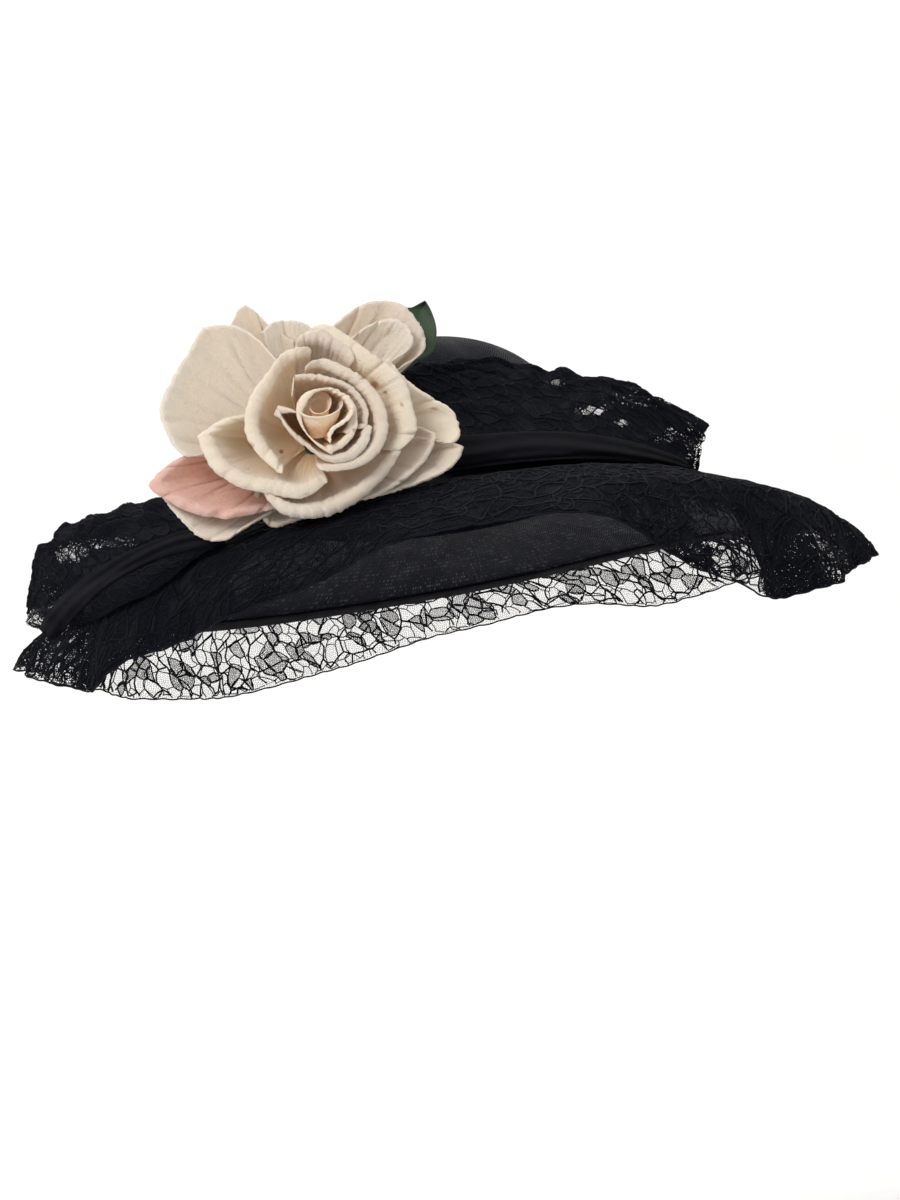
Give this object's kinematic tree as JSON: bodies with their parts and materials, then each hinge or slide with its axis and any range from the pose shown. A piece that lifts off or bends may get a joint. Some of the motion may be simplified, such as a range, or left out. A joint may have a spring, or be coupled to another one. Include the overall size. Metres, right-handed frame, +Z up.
{
  "type": "wide brim lace hat",
  "caption": "Dark wide brimmed straw hat with a lace flounce falling past the edge, a lace and crepe bow across the front and a large cream silk rose.",
  "frame": {"origin": "centre of the head opening, at the height where the crown meets the brim", "axes": "+X to the viewer's right when facing the hat's front, -Y out of the front, +Z up along the crown"},
  "size_m": [0.4605, 0.4356, 0.1815],
  "materials": {
    "straw": "woven straw, soft sheen",
    "ribbon": "ribbed ribbon, matte",
    "lace": "open lace net, matte",
    "crepe": "crinkled crepe, matte",
    "cream_silk": "stiffened silk, matte",
    "pink_silk": "stiffened silk, matte",
    "green_silk": "stiffened silk, matte"
  },
  "bodies": {
    "root": {"straw_crown": "straw", "straw_brim": "straw", "brim_binding": "ribbon", "lace_flounce": "lace", "lace_wing_right": "lace", "lace_wing_left": "lace", "crepe_band_right": "crepe", "crepe_band_left": "crepe", "rose_hub": "green_silk", "rose_heart": "cream_silk", "petal_inner_1": "cream_silk", "petal_inner_2": "cream_silk", "petal_inner_3": "cream_silk", "petal_ring_1": "cream_silk", "petal_ring_2": "cream_silk", "petal_ring_3": "cream_silk", "petal_cup_top": "cream_silk", "petal_cup_left": "cream_silk", "petal_cup_low_left": "cream_silk", "petal_cup_low": "cream_silk", "petal_cup_right": "cream_silk", "petal_wide_left": "cream_silk", "petal_wide_top": "cream_silk", "petal_wide_right": "cream_silk", "petal_wide_low_right": "cream_silk", "petal_wide_low_left": "cream_silk", "petal_wide_low": "cream_silk", "petal_back_point": "cream_silk", "petal_back_upper_right": "cream_silk", "petal_pink_left": "pink_silk", "petal_back_low_left": "cream_silk", "rose_leaf": "green_silk"}
  },
  "joints": []
}
